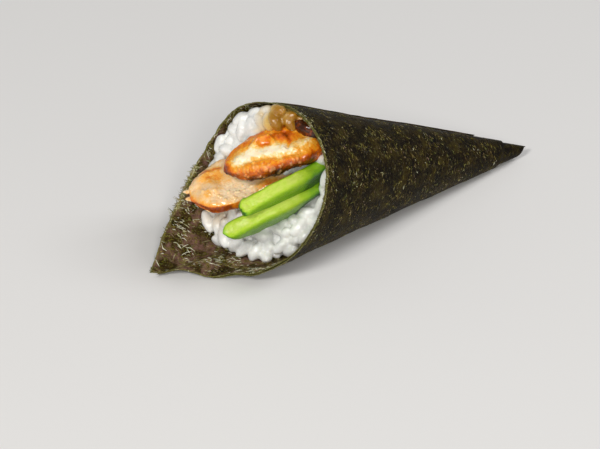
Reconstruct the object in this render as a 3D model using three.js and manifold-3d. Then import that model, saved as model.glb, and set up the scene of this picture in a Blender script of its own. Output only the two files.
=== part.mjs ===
// Temaki hand roll: half a sheet of nori rolled into a cone round sushi rice, with pieces of glazed
// grilled chicken and slices of avocado that run from the mouth down into the rice.
//
// Millimetres, +Z up. The roll lies on its side on the plane z = 0. Its point is at x = 0 and its
// mouth faces -X. Two more kinds of coordinates describe the roll itself:
//   s, psi     distance from the point along the cone's axis, and azimuth round that axis: 0 underneath,
//              90 degrees at the -Y side, 180 on top
//   rho, phi   polar coordinates on the flat sheet of nori about the point of the cone, with phi
//              growing from the inner end of the roll to its outer end
import * as THREE from "three";
import { mergeVertices } from "three/addons/utils/BufferGeometryUtils.js";
import Module from "manifold-3d";

const wasm = await Module();
wasm.setup();

const DEG = Math.PI / 180;
const TURN = 2 * Math.PI;

// ---- Driving dimensions ---------------------------------------------------------------------
const SHEET_HEIGHT = 105; // half of a 210 x 190 sheet
const SHOWING_SIDE = 95.8; // from the point along the sheet's long edge to the side left showing
const HIDDEN_SIDE = 96; // and to the side rolled in first
const SHEET_THICKNESS = 0.35;
const LAYER_PITCH = 0.52; // one layer of nori and the air to the next
const OUTER_END = 163 * DEG; // the sheet is rolled up to here and ends in a free edge on top
const POINT_START = 3.2; // rho where the innermost layer begins
const POINT_RISE = 21; // how much further from the point the outermost layer begins

const HALF_ANGLE = 12.8 * DEG; // of the bare cone
const WRAP_ANGLE = 13.35 * DEG; // of the sheet, which lies a little outside the bare cone
const CORNER_PSI = -23.6 * DEG; // azimuth of the corner of the sheet that is left showing
const FLAT_HALF_ANGLE = 12 * DEG; // the roll has settled onto a flat this wide
const SOLE = { from: 20, to: 100, hollow: 0.4 }; // between these s the flat is slightly hollow
const POINT_DRIFT = 2; // the point leans this far to the -Y side
const FLAP_START = 112; // rho where the loose part of the sheet begins
const LOOSENING = 15; // and it is fully loose this much further out
const RIM_WAVES = [
  { psi: -10 * DEG, spread: 18 * DEG, start: FLAP_START, height: 2.1 },
  { psi: 18 * DEG, spread: 14 * DEG, start: FLAP_START, height: 1.5 },
  { psi: -126 * DEG, spread: 37 * DEG, start: 90, height: -2 },
]; // its edge curls in by these heights, and stands off the rice where they are below zero
const CORNER_SPREAD = 17 * DEG; // of psi, to each side of the corner left showing
const CORNER_PULL = [-1.2, -1.5, -2.5]; // x, y and z by which the layers are drawn out and down there

const GRAIN_LENGTH = 6.4;
const GRAIN_WIDTH = 3.2;
const GRAIN_COUNT = 120;
const RICE_START = 14; // s where the rice begins
const RICE_FOOT = -122; // x of the rice's face on the sheet, underneath
const RICE_SLOPE = 0.53; // the face leans back by this much per millimetre of height
const RICE_SIDE = 0.76; // and recedes by this much per millimetre towards -Y
const RICE_EDGE = 4.5; // from this y on
const RICE_HOLLOW = 4; // and is this much deeper at the top, where meat takes its place
const HOLLOW_Z = [32, 40]; // the hollow begins and has its full depth at these heights

const GAP = 0.3; // air between two pieces that touch
const RICE_GAP = 0.5; // air between the rice and the round of the nori
const SLIVER = 0.01; // edges left shorter than this by cutting are closed up

const CORNER_PHI = Math.PI - Math.atan2(SHEET_HEIGHT, SHOWING_SIDE);
const slope = Math.tan(HALF_ANGLE);
const AXIS_TILT = Math.atan(slope * Math.cos(FLAT_HALF_ANGLE));

// ---- The rolled cone ------------------------------------------------------------------------
// psi runs on over the turns of the roll: it is largest at the inner end of the sheet.
const azimuthOf = (phi) => CORNER_PSI + (CORNER_PHI - phi) / Math.sin(WRAP_ANGLE);
const INNER_PSI = azimuthOf(0);
// How far a layer's inner face stands outside the bare cone.
const standOff = (psi) => (LAYER_PITCH * (INNER_PSI - psi)) / TURN;
// The same at the layer's pass underneath, so that every layer is flat where the roll rests.
const standOffBelow = (psi) => standOff(TURN * Math.round(psi / TURN));
const POINT_HEIGHT = (standOffBelow(0) + SHEET_THICKNESS) * Math.cos(AXIS_TILT);

const axis = new THREE.Vector3(-Math.cos(AXIS_TILT), 0, Math.sin(AXIS_TILT));
const down = new THREE.Vector3(-Math.sin(AXIS_TILT), 0, -Math.cos(AXIS_TILT));
const side = new THREE.Vector3(0, -1, 0);

const smooth = (x) => {
  const t = Math.min(1, Math.max(0, x));
  return t * t * (3 - 2 * t);
};

// The point at radius r from the axis.
function onCone(s, psi, r) {
  const drift = POINT_DRIFT * Math.max(0, 1 - s / SHEET_HEIGHT) ** 2;
  return new THREE.Vector3(0, 0, POINT_HEIGHT)
    .addScaledVector(axis, s)
    .addScaledVector(side, r * Math.sin(psi) + drift)
    .addScaledVector(down, r * Math.cos(psi));
}

// Radius of a wall that stands off the bare cone by off, and by offBelow on the flat underneath.
function wallRadius(s, psi, off, offBelow) {
  const round = s * slope + off;
  const share = Math.min(1, Math.max(0, (s - SOLE.from) / (SOLE.to - SOLE.from)));
  const flat = s * slope * Math.cos(FLAT_HALF_ANGLE) + offBelow - SOLE.hollow * Math.sin(Math.PI * share);
  const c = Math.cos(psi);
  return c > 0 ? Math.min(round, flat / c) : round;
}

// ---- Closed surfaces ------------------------------------------------------------------------
// A closed geometry through rings of points. The ends are capped by joining ring points i and n-1-i.
// The quads of a ring's second half are split the other way, so that a thin sheet has both faces alike.
function loft(rings) {
  const n = rings[0].length;
  const position = rings.flat().flatMap((p) => [p.x, p.y, p.z]);
  const index = [];
  for (let r = 0; r + 1 < rings.length; r++) {
    for (let i = 0; i < n; i++) {
      const [a, b] = [r * n + i, r * n + ((i + 1) % n)];
      if (i < n / 2) index.push(a, b, b + n, a, b + n, a + n);
      else index.push(a, b, a + n, b, b + n, a + n);
    }
  }
  const last = (rings.length - 1) * n;
  for (let i = 0; i + 1 < n / 2; i++) {
    const [a, b, c, d] = [i, i + 1, n - 2 - i, n - 1 - i];
    index.push(a, c, b, a, d, c, last + a, last + b, last + c, last + a, last + c, last + d);
  }
  const geometry = new THREE.BufferGeometry();
  geometry.setAttribute("position", new THREE.Float32BufferAttribute(position, 3));
  geometry.setIndex(index);
  return geometry;
}

// A closed geometry as a solid that can be joined and cut, with its faces turned outwards.
function solidOf(geometry) {
  const bare = geometry.clone();
  bare.deleteAttribute("normal");
  bare.deleteAttribute("uv");
  const merged = mergeVertices(bare, 1e-4);
  const build = (triVerts) =>
    new wasm.Manifold(new wasm.Mesh({ numProp: 3, vertProperties: merged.attributes.position.array, triVerts }));
  const triVerts = new Uint32Array(merged.index.array);
  const solid = build(triVerts);
  return solid.volume() > 0 ? solid : build(triVerts.reverse());
}

// The largest body of a solid, as a geometry: loose scraps are dropped.
function geometryOf(solid) {
  const bodies = solid.simplify(SLIVER).decompose().sort((a, b) => b.volume() - a.volume());
  const mesh = bodies[0].getMesh();
  const geometry = new THREE.BufferGeometry();
  geometry.setAttribute("position", new THREE.BufferAttribute(new Float32Array(mesh.vertProperties), 3));
  geometry.setIndex(new THREE.BufferAttribute(new Uint32Array(mesh.triVerts), 1));
  geometry.computeVertexNormals();
  return geometry;
}

// ---- Nori -----------------------------------------------------------------------------------
const NORI_STEP = 2 * DEG; // of phi, about 9 degrees round the cone
const NORI_ROWS = 7;
const FULL_TURN = TURN * Math.sin(WRAP_ANGLE); // of phi

// The sheet is cut into steps so that the corner left showing and the spot one turn under it fall on one.
const KNOTS = [0, CORNER_PHI - FULL_TURN, CORNER_PHI, OUTER_END];
const SHEET_PHI = KNOTS.slice(1).flatMap((to, k) => {
  const count = Math.round((to - KNOTS[k]) / NORI_STEP);
  return Array.from({ length: count }, (_, i) => KNOTS[k] + ((to - KNOTS[k]) * i) / count);
});
SHEET_PHI.push(OUTER_END);
const NORI_STEPS = SHEET_PHI.length - 1;

const flatRim = (phi) => {
  const side = phi < Math.PI / 2 ? HIDDEN_SIDE : SHOWING_SIDE;
  return Math.min(side / Math.abs(Math.cos(phi)), SHEET_HEIGHT / Math.max(1e-6, Math.sin(phi)));
};
// Where the sheet lies two deep, the inner layer has been drawn out as far as the outer one.
const rimRadius = (phi) => {
  const outerPhi = phi + FULL_TURN;
  return outerPhi < OUTER_END ? Math.max(flatRim(phi), flatRim(outerPhi)) : flatRim(phi);
};
const pointRadius = (phi) => POINT_START + (POINT_RISE * phi) / OUTER_END;

// A point of the sheet; lift is 0 on its inner face and SHEET_THICKNESS on its outer face.
function noriPoint(phi, rho, lift) {
  const psi = azimuthOf(phi);
  const s = rho * Math.cos(WRAP_ANGLE);
  const pass = psi - TURN * Math.round(psi / TURN);
  const loose = (start) => smooth((rho - start) / LOOSENING);
  const near = (middle, spread) => smooth(1 - Math.abs(pass - middle) / spread);
  const curl = (wave) => wave.height * loose(wave.start) * near(wave.psi, wave.spread);
  const raise = RIM_WAVES.reduce((sum, wave) => sum + curl(wave), 0);
  const nearCorner = loose(FLAP_START) * near(CORNER_PSI, CORNER_SPREAD);
  const pull = new THREE.Vector3(...CORNER_PULL).multiplyScalar(nearCorner);
  return onCone(s, psi, wallRadius(s, psi, standOff(psi) + lift, standOffBelow(psi) + lift) - raise).add(pull);
}

// Steps first to last of the sheet, between two lifts.
function noriSheet(first, last, below, above) {
  const rings = SHEET_PHI.slice(first, last + 1).map((phi) => {
    const [from, to] = [pointRadius(phi), rimRadius(phi)];
    const row = (lift) =>
      Array.from({ length: NORI_ROWS + 1 }, (_, j) => noriPoint(phi, from + ((to - from) * j) / NORI_ROWS, lift));
    return [...row(below), ...row(above).reverse()];
  });
  return solidOf(loft(rings));
}

// The space inside the innermost layer, carried on past the mouth.
function inside(gap) {
  const steps = 48;
  const rings = [RICE_START, 40, 65, 90, 115, 150].map((s) =>
    Array.from({ length: steps }, (_, i) => {
      const psi = INNER_PSI - (TURN * i) / steps;
      return onCone(s, psi, wallRadius(s, psi, standOff(psi) - gap, standOffBelow(TURN) - gap));
    }),
  );
  return solidOf(loft(rings));
}

// ---- Fillings -------------------------------------------------------------------------------
// Share of full size at length share t, with the two ends rounded off over the shares a and b.
const rounded = (t, a, b) => {
  const near = t < a ? Math.sqrt(1 - (1 - t / a) ** 2) : 1;
  const far = t > 1 - b ? Math.sqrt(1 - (1 - (1 - t) / b) ** 2) : 1;
  return Math.max(0.15, near * far);
};

// A slab of food lofted along a spine of [x, y, z] points. face is the normal of its broad upper face.
// width, height and shift are functions of the length share t, and shift moves the section sideways.
// ripple(t, a) swells the section at the angle a round it. grow makes the whole slab larger all round.
function slab({ spine, face, width, height, shift, rings, points, ripple }, grow) {
  const curve = new THREE.CatmullRomCurve3(spine.map((p) => new THREE.Vector3(...p)));
  const up = new THREE.Vector3(...face).normalize();
  const ring = (_, i) => {
    const t = i / (rings - 1);
    const along = curve.getTangent(t);
    const across = along.clone().cross(up).normalize();
    const thick = across.clone().cross(along).normalize();
    const overhang = (2 * t - 1) * grow;
    const centre = curve.getPoint(t).addScaledVector(along, overhang).addScaledVector(across, shift(t));
    return Array.from({ length: points }, (_, k) => {
      const a = (TURN * (k + 0.5)) / points;
      const bump = 1 + ripple(t, a);
      // a superellipse: a rectangle with well-rounded corners
      const c = Math.sign(Math.cos(a)) * Math.abs(Math.cos(a)) ** 0.6;
      const d = Math.sign(Math.sin(a)) * Math.abs(Math.sin(a)) ** 0.6;
      return centre
        .clone()
        .addScaledVector(across, c * ((width(t) / 2) * bump + grow))
        .addScaledVector(thick, d * ((height(t) / 2) * bump + grow));
    });
  };
  return solidOf(loft(Array.from({ length: rings }, ring)));
}

// An avocado slice is half a moon: a straight cut edge along its spine and a bowed skin side.
const avocado = (spine, face, length) => {
  const width = (t) => 12.5 * rounded(t, 0.4, 0.45);
  return {
    spine,
    face,
    width,
    height: (t) => length.thickness * rounded(t, 0.1, 0.3),
    shift: (t) => width(t) / 2,
    rings: 17,
    points: 12,
    ripple: () => 0,
  };
};
const avocadoLow = avocado(
  [
    [-125.2, -4, 15.6],
    [-117, -8.8, 20.4],
    [-102, -12.4, 24.6],
    [-82, -8.5, 25],
  ],
  [-0.1, -0.72, -0.68],
  { thickness: 5.6 },
);
const avocadoHigh = avocado(
  [
    [-121.8, -8, 24.6],
    [-114, -11.2, 29],
    [-101, -12.5, 32],
    [-82, -8, 31],
  ],
  [0.3, -0.84, -0.42],
  { thickness: 5.2 },
);

// Crags of cooked meat: a few waves round the piece and along it.
const crags = (depth, turn) => (t, a) =>
  depth * (Math.sin(3 * a + 9 * t + turn) + 0.7 * Math.sin(5 * a - 17 * t + 2 * turn) + 0.5 * Math.sin(23 * t + turn));

const CHICKEN = { rings: 19, points: 18, face: [-0.42, -0.05, 0.9], shift: () => 0 };
const chickenLow = {
  ...CHICKEN,
  spine: [
    [-124.2, 14, 18.2],
    [-112, 9.5, 22],
    [-98, 3, 26],
    [-78, 1, 22],
  ],
  width: (t) => (22 - 7 * t) * rounded(t, 0.36, 0.3),
  height: (t) => 6 * rounded(t, 0.2, 0.3),
  ripple: crags(0.03, 1),
};
const chickenHigh = {
  ...CHICKEN,
  spine: [
    [-116.8, 5.5, 30.5],
    [-108, 2.4, 33.2],
    [-97.5, -1.2, 35.4],
    [-86, -4.5, 36.5],
  ],
  width: (t) => 16.5 * rounded(t, 0.5, 0.25),
  height: (t) => 7 * rounded(t, 0.35, 0.25),
  ripple: crags(0.05, 4),
};
const chickenBack = {
  ...CHICKEN,
  spine: [
    [-94.5, 0, 41.5],
    [-88, 0, 39],
    [-80, 0, 34],
    [-70, 0, 28],
  ],
  width: (t) => 15 * rounded(t, 0.2, 0.3),
  height: (t) => 7 * rounded(t, 0.25, 0.3),
  ripple: crags(0.05, 2),
};

// ---- Rice -----------------------------------------------------------------------------------
const riceFace = (y, z) => {
  const hollow = smooth((z - HOLLOW_Z[0]) / (HOLLOW_Z[1] - HOLLOW_Z[0])) * smooth(1 - y / RICE_EDGE);
  return RICE_FOOT + RICE_SLOPE * z + RICE_SIDE * Math.max(0, RICE_EDGE - y) + RICE_HOLLOW * hollow;
};

// A repeatable draw of numbers from 0 to 1.
function draw(seed) {
  let state = seed;
  return () => {
    state = (Math.imul(state, 1664525) + 1013904223) >>> 0;
    return state / 4294967296;
  };
}

// All that lies behind the rice's face.
function riceBlock(depth) {
  const heights = [-2, ...HOLLOW_Z, 60];
  const rings = [-40, 0, RICE_EDGE, 40].map((y) => [
    ...heights.map((z) => new THREE.Vector3(riceFace(y, z) + depth, y, z)),
    ...heights.toReversed().map((z) => new THREE.Vector3(0, y, z)),
  ]);
  return solidOf(loft(rings));
}

function riceGrain(centre, direction, size) {
  const shape = new THREE.IcosahedronGeometry(1, 0);
  shape.scale((size * GRAIN_LENGTH) / 2, (size * GRAIN_WIDTH) / 2, (size * GRAIN_WIDTH) / 2);
  shape.applyQuaternion(new THREE.Quaternion().setFromUnitVectors(new THREE.Vector3(1, 0, 0), direction));
  shape.translate(centre.x, centre.y, centre.z);
  return solidOf(shape);
}

function riceHeap(cutters) {
  const next = draw(5);
  const goldenAngle = Math.PI * (3 - Math.sqrt(5));
  const [middle, reach] = [24, 27]; // height of the face's middle, and the face's radius
  let heap = riceBlock(2);
  for (let k = 0; k < GRAIN_COUNT; k++) {
    const r = reach * Math.sqrt((k + 0.5) / GRAIN_COUNT);
    const y = r * Math.cos(k * goldenAngle);
    const z = middle + r * Math.sin(k * goldenAngle);
    const centre = new THREE.Vector3(riceFace(y, z) + 1.8 * next(), y, z);
    const heading = TURN * next();
    const direction = new THREE.Vector3(0.9 * (next() - 0.5), Math.cos(heading), Math.sin(heading)).normalize();
    heap = heap.add(riceGrain(centre, direction, 0.85 + 0.3 * next()));
  }
  heap = heap.intersect(inside(RICE_GAP));
  const fullTurn = Math.ceil(FULL_TURN / NORI_STEP);
  const halfTurn = Math.round(fullTurn / 2);
  const innermost = [
    noriSheet(0, halfTurn + 1, -GAP, SHEET_THICKNESS),
    noriSheet(halfTurn, fullTurn, -GAP, SHEET_THICKNESS),
  ];
  for (const cutter of [...innermost, ...cutters]) heap = heap.subtract(cutter);
  return heap;
}

// ---- The whole roll -------------------------------------------------------------------------
const finish = (color, roughness) => new THREE.MeshStandardMaterial({ color, roughness, metalness: 0 });
const NORI = finish(0x1c2312, 0.55);
const RICE = finish(0xe6e8e4, 0.35);
const MEAT = finish(0xd8863c, 0.3);
const AVOCADO = finish(0x9ccb1e, 0.4);

const cavity = inside(GAP);
const fillings = [
  ["avocado_low", avocadoLow, AVOCADO],
  ["avocado_high", avocadoHigh, AVOCADO],
  ["chicken_high", chickenHigh, MEAT],
  ["chicken_low", chickenLow, MEAT],
  ["chicken_back", chickenBack, MEAT],
];

const roll = new THREE.Group();
const add = (name, solid, material) => {
  const mesh = new THREE.Mesh(geometryOf(solid), material);
  mesh.name = name;
  roll.add(mesh);
};
add("nori", noriSheet(0, NORI_STEPS, 0, SHEET_THICKNESS), NORI);
const cutters = [];
for (const [name, piece, material] of fillings) {
  // each piece gives way to those before it
  let solid = slab(piece, 0).intersect(cavity);
  for (const cutter of cutters) solid = solid.subtract(cutter);
  add(name, solid, material);
  cutters.push(slab(piece, GAP));
}
add("rice", riceHeap(cutters), RICE);

// The part's origin is the middle of its footprint, on the surface it lies on.
const bounds = new THREE.Box3().setFromObject(roll);
const middle = bounds.getCenter(new THREE.Vector3());
roll.children.forEach((mesh) => mesh.position.set(-middle.x, -middle.y, -bounds.min.z));

export default roll;
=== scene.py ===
"""Looks of the temaki hand roll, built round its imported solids.

Lengths are millimetres in the roll's own coordinates until make() turns them into metres of the row
frame. The point of the cone is at x = 0 there, the mouth faces -X and the flat underneath is at about
z = 0, a little above the floor, which only the loose corner reaches.
  s, psi     distance from the point along the cone's axis, and azimuth round it: 0 underneath,
             90 degrees at the -Y side, 180 on top
  rho, phi   polar coordinates on the flat sheet of nori about the point of the cone
"""

import math

import bmesh
import bpy
import numpy as np
from mathutils import Matrix, Vector, noise
from mathutils.bvhtree import BVHTree


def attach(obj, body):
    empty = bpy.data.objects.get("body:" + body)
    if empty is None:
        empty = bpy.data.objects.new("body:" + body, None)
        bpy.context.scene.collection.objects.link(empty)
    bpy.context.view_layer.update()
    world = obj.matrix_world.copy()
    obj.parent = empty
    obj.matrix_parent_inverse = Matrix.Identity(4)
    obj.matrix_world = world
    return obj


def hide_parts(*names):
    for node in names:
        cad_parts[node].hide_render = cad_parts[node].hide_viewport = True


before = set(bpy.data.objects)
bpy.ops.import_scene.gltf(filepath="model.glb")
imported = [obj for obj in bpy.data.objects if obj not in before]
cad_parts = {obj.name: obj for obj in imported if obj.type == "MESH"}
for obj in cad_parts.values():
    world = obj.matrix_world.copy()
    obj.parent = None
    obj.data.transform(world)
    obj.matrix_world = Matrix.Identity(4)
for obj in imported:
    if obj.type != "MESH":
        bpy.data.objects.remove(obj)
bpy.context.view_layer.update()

MM = 0.001
DEG = math.pi / 180
TURN = 2 * math.pi

# ---- The rolled cone, as in the solids --------------------------------------------------------
POINT = np.array([72.72, -0.69, 0.35])  # the point of the cone in the row frame
FLOOR = -POINT[2]  # z of the floor
SHEET_HEIGHT = 105
SHOWING_SIDE = 95.8
HIDDEN_SIDE = 96
LAYER_PITCH = 0.52
OUTER_END = 163 * DEG
POINT_START = 3.2
POINT_RISE = 21
HALF_ANGLE = 12.8 * DEG
WRAP_ANGLE = 13.35 * DEG
CORNER_PSI = -23.6 * DEG
FLAT_HALF_ANGLE = 12 * DEG
SOLE = (20, 100, 0.4)  # between these s the flat underneath is hollow by this much
POINT_DRIFT = 2
FLAP_START = 112
LOOSENING = 15
RIM_WAVES = (  # psi, spread, the rho where it begins, and how far the edge curls in, or stands off below zero
    (-10 * DEG, 18 * DEG, FLAP_START, 2.1),
    (18 * DEG, 14 * DEG, FLAP_START, 1.5),
    (-126 * DEG, 37 * DEG, 90, -2),
)
CORNER_SPREAD = 17 * DEG
CORNER_PULL = (-1.2, -1.5, -2.5)
SOLID_THICKNESS = 0.35
LEAF = (0.05, 0.3)  # lifts of the leaf's inner and outer face

CORNER_PHI = math.pi - math.atan2(SHEET_HEIGHT, SHOWING_SIDE)
SLOPE = math.tan(HALF_ANGLE)
AXIS_TILT = math.atan(SLOPE * math.cos(FLAT_HALF_ANGLE))
INNER_PSI = CORNER_PSI + CORNER_PHI / math.sin(WRAP_ANGLE)
FULL_TURN = TURN * math.sin(WRAP_ANGLE)  # of phi
AXIS = np.array([-math.cos(AXIS_TILT), 0, math.sin(AXIS_TILT)])
DOWN = np.array([-math.sin(AXIS_TILT), 0, -math.cos(AXIS_TILT)])
SIDE = np.array([0.0, -1.0, 0.0])


def smooth(x):
    t = np.clip(x, 0, 1)
    return t * t * (3 - 2 * t)


def azimuth_of(phi):
    return CORNER_PSI + (CORNER_PHI - phi) / math.sin(WRAP_ANGLE)


def stand_off(psi):
    return LAYER_PITCH * (INNER_PSI - psi) / TURN


def stand_off_below(psi):
    return stand_off(TURN * np.round(psi / TURN))


POINT_HEIGHT = (stand_off_below(0.0) + SOLID_THICKNESS) * math.cos(AXIS_TILT)


def drift(s):
    return POINT_DRIFT * np.maximum(0, 1 - s / SHEET_HEIGHT) ** 2


def on_cone(s, psi, r):
    """The point at radius r from the axis."""
    start = np.array([0, 0, POINT_HEIGHT])
    across = r * np.sin(psi) + drift(s)
    below = r * np.cos(psi)
    return start + s[..., None] * AXIS + across[..., None] * SIDE + below[..., None] * DOWN


def wall_radius(s, psi, off, off_below):
    """Radius of a wall that stands off the bare cone by off, and by off_below on the flat underneath."""
    around = s * SLOPE + off
    start, end, hollow = SOLE
    flat = s * SLOPE * math.cos(FLAT_HALF_ANGLE) + off_below
    flat = flat - hollow * np.sin(math.pi * np.clip((s - start) / (end - start), 0, 1))
    c = np.cos(psi)
    return np.where(c > 0, np.minimum(around, flat / np.maximum(c, 1e-3)), around)


def curl(psi, rho):
    """How far the sheet's loose edge curls in."""
    turn = psi - TURN * np.round(psi / TURN)
    return sum(
        height * smooth((rho - start) / LOOSENING) * smooth(1 - np.abs(turn - middle) / spread)
        for middle, spread, start, height in RIM_WAVES
    )


def flat_rim(phi):
    side = np.where(phi < math.pi / 2, HIDDEN_SIDE, SHOWING_SIDE)
    return np.minimum(side / np.abs(np.cos(phi)), SHEET_HEIGHT / np.maximum(1e-6, np.sin(phi)))


def rim_radius(phi):
    """Where the sheet lies two deep, the inner layer has been drawn out as far as the outer one."""
    outer = phi + FULL_TURN
    return np.where(outer < OUTER_END, np.maximum(flat_rim(phi), flat_rim(outer)), flat_rim(phi))


# ---- Tools for meshes -------------------------------------------------------------------------
def noise_at(points, size, seed=0.0):
    """Smooth noise from about -1 to 1 at each point, with waves about as long as size."""
    return np.array([noise.noise(Vector(p / size) + Vector((seed, 2 * seed, -seed))) for p in points])


def grid_faces(rows, columns, closed):
    """Quads of a grid of points; closed joins its last column to its first."""
    last = columns if closed else columns - 1
    j, i = np.meshgrid(np.arange(rows - 1), np.arange(last), indexing="ij")
    k = (i + 1) % columns
    quads = np.stack([j * columns + i, j * columns + k, (j + 1) * columns + k, (j + 1) * columns + i], -1)
    return quads.reshape(-1, 4)


def make(name, points, faces, material, node=None, uv=None, values=None, ride=True):
    """A smooth mesh in the row frame. values are named numbers kept at its points."""
    mesh = bpy.data.meshes.new(name)
    mesh.from_pydata(((points + POINT) * MM).tolist(), [], [list(f) for f in faces])
    mesh.validate()
    mesh.shade_smooth()
    for key, numbers in (values or {}).items():
        attribute = mesh.attributes.new(key, "FLOAT", "POINT")
        attribute.data.foreach_set("value", np.asarray(numbers, np.float32))
    if uv is not None:
        corners = np.zeros(len(mesh.loops), np.int32)
        mesh.loops.foreach_get("vertex_index", corners)
        layer = mesh.uv_layers.new(name="sheet")
        layer.data.foreach_set("uv", np.asarray(uv, np.float32)[corners].ravel())
    turn_outwards(mesh)
    mesh.materials.append(material)
    thing = bpy.data.objects.new(name, mesh)
    bpy.context.scene.collection.objects.link(thing)
    if ride:
        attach(thing, "root")
    if node:
        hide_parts(node)
    return thing


def turn_outwards(mesh):
    work = bmesh.new()
    work.from_mesh(mesh)
    bmesh.ops.recalc_face_normals(work, faces=work.faces)
    work.to_mesh(mesh)
    work.free()


def normals_of(points, faces):
    """Outward unit normals of a closed mesh, one for each point."""
    a, b, c, d = (points[faces[:, k]] for k in range(4))
    flat = np.cross(c - a, d - b)
    total = np.zeros_like(points)
    for k in range(4):
        np.add.at(total, faces[:, k], flat)
    volume = np.einsum("ij,ij->", (a + c) / 2 - points.mean(0), flat)
    total *= np.sign(volume)
    return total / np.maximum(1e-9, np.linalg.norm(total, axis=1))[:, None]


# ---- Tools for materials ----------------------------------------------------------------------
class Shader:
    """A material's nodes. Each method adds one node and gives back its output."""

    def __init__(self, name):
        self.material = bpy.data.materials.new(name)
        self.material.use_nodes = True
        self.tree = self.material.node_tree
        self.surface = self.tree.nodes["Principled BSDF"]

    def node(self, kind, **settings):
        made = self.tree.nodes.new(kind)
        for key, value in settings.items():
            setattr(made, key, value)
        return made

    def put(self, socket, value):
        if isinstance(value, bpy.types.NodeSocket):
            self.tree.links.new(value, socket)
        else:
            socket.default_value = value

    def set(self, **inputs):
        for key, value in inputs.items():
            self.put(self.surface.inputs[key.replace("_", " ")], value)

    def value(self, name):
        return self.node("ShaderNodeAttribute", attribute_name=name).outputs["Fac"]

    def place(self):
        """Coordinates in millimetres of the row frame."""
        return self.scaled(self.node("ShaderNodeTexCoord").outputs["Object"], (1 / MM,) * 3)

    def sheet(self):
        """Coordinates in millimetres of the flat sheet."""
        return self.scaled(self.node("ShaderNodeUVMap", uv_map="sheet").outputs["UV"], (SHEET_UNIT,) * 3)

    def scaled(self, vector, scale):
        made = self.node("ShaderNodeMapping")
        self.put(made.inputs["Vector"], vector)
        made.inputs["Scale"].default_value = scale
        return made.outputs["Vector"]

    def turned(self, vector, angle):
        """The vector in axes that lie turned by an angle about Z."""
        made = self.node("ShaderNodeVectorRotate", rotation_type="Z_AXIS", invert=True)
        self.put(made.inputs["Vector"], vector)
        self.put(made.inputs["Angle"], angle)
        return made.outputs["Vector"]

    def noise(self, vector, scale, detail=4.0, rough=0.55, distortion=0.0):
        made = self.node("ShaderNodeTexNoise")
        self.put(made.inputs["Vector"], vector)
        made.inputs["Scale"].default_value = scale
        made.inputs["Detail"].default_value = detail
        made.inputs["Roughness"].default_value = rough
        made.inputs["Distortion"].default_value = distortion
        return made.outputs["Fac"]

    def math(self, operation, a, b=0.0):
        made = self.node("ShaderNodeMath", operation=operation)
        self.put(made.inputs[0], a)
        self.put(made.inputs[1], b)
        return made.outputs["Value"]

    def span(self, value, low, high, to_low=0.0, to_high=1.0):
        """The value from low to high, as a number from to_low to to_high."""
        made = self.node("ShaderNodeMapRange", clamp=True, interpolation_type="SMOOTHSTEP")
        names = ("Value", "From Min", "From Max", "To Min", "To Max")
        for key, number in zip(names, (value, low, high, to_low, to_high)):
            self.put(made.inputs[key], number)
        return made.outputs["Result"]

    def ramp(self, value, stops):
        made = self.node("ShaderNodeValToRGB")
        self.put(made.inputs["Fac"], value)
        band = made.color_ramp
        while len(band.elements) < len(stops):
            band.elements.new(0.5)
        for element, (at, colour) in zip(band.elements, stops):
            element.position = at
            element.color = (*colour, 1)
        return made.outputs["Color"]

    def mix(self, share, a, b):
        made = self.node("ShaderNodeMix", data_type="RGBA")
        self.put(made.inputs[0], share)
        self.put(made.inputs[6], a if isinstance(a, bpy.types.NodeSocket) else (*a, 1))
        self.put(made.inputs[7], b if isinstance(b, bpy.types.NodeSocket) else (*b, 1))
        return made.outputs[2]

    def bump(self, height, depth_mm):
        """depth_mm is how far the surface rises where height is 1."""
        made = self.node("ShaderNodeBump")
        made.inputs["Strength"].default_value = 1
        made.inputs["Distance"].default_value = depth_mm * MM
        self.put(made.inputs["Height"], height)
        return made.outputs["Normal"]


# ---- Nori -------------------------------------------------------------------------------------
SHEET_UNIT = 100  # mm of the flat sheet to one unit of its UV coordinates
NORI_COLUMNS = 440
NORI_ROWS = 96
RIM_CROWDING = 1.25  # above 1, the rows lie closer together towards the rim
DENT, DENT_SIZE = 0.3, 13
WRINKLE, WRINKLE_SIZE = 0.12, 4
FULLY_DENTED = 60  # s from which the dents have their full depth
OUTER_FIBRES = 16000  # tried, and kept only where they crowd
INNER_FIBRES = 24000
OUTER_SPREAD = 95 * DEG  # phi of the part of the sheet that shows outside
INNER_SPREAD = 100 * DEG  # and inside
INNER_FRINGE = 95 * DEG  # phi of the rim that is fringed on the inner face
OUTER_FRINGE = 85 * DEG  # and on the outer one
RIM_FIBRES = 1100
RIM_LENGTH = 0.8
RIM_TUFTS = 0.5  # the higher, the more the fringe keeps to tufts with bare rim between them
FRAYED_FIBRES = 220
FRAYED_LENGTH = 1.9
FRAYED_TUFTS = -0.4
FRAYED = (  # phi of the stretch of rim that frays most, in each of its two layers, and the face that shows
    (56 * DEG, 62 * DEG, -1),
    (138 * DEG, 144 * DEG, 1),
)
FIBRE_POINTS = 9
FIBRE_WIDTH = (0.1, 0.36)
FIBRE_THICKNESS = (0.02, 0.09)
FIBRE_BEND = 0.12  # of its length
OUTER_GRAIN = 0.28  # the way most fibres lie on the flat sheet, as seen outside and inside the cone
INNER_GRAIN = 1.5
FIBRE_LAYERS = (  # turn from that way, fineness, and width of the lines
    (-0.3, 0.8, 0.035),
    (0.0, 1.1, 0.045),
    (0.35, 0.7, 0.03),
    (0.1, 1.6, 0.05),
)
RIM_COLOUR = (0.26, 0.25, 0.07)
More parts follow.
